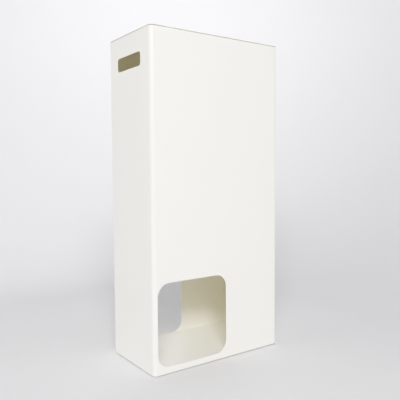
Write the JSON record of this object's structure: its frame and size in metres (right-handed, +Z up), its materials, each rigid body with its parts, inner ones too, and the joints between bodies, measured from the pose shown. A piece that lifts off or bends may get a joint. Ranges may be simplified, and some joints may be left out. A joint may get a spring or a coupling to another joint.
{
  "type": "lidded storage box",
  "caption": "Tall lidded box of folded sheet steel with a rounded square window low in the front and rear walls and a hand slot in each side.",
  "frame": {"origin": "middle of the footprint, on the surface that the feet stand on", "axes": "+Z up, +X along the wide walls, to the right as seen from the front, and +Y towards the rear; the front wall faces -Y"},
  "size_m": [0.24, 0.13, 0.5],
  "materials": {
    "powder_coat": "fine satin powder coat, warm white",
    "lid_coat": "fine satin powder coat, warm white",
    "foot_rubber": "matt",
    "silicone": "translucent matt"
  },
  "bodies": {
    "box": {"front_shell": "powder_coat", "rear_panel": "powder_coat", "base_tray": "powder_coat", "foot_front_left": "foot_rubber", "foot_front_right": "foot_rubber", "foot_rear_left": "foot_rubber", "foot_rear_right": "foot_rubber"},
    "lid": {"lid_plate": "lid_coat", "lid_frame": "lid_coat", "lid_strip_front_left": "silicone", "lid_strip_front_right": "silicone", "lid_strip_rear_left": "silicone", "lid_strip_rear_right": "silicone"}
  },
  "joints": [
    {"name": "lid_lift", "type": "slide", "parent": "box", "child": "lid", "axis": [0, 0, 1], "range_m": [0, 0.15]}
  ]
}
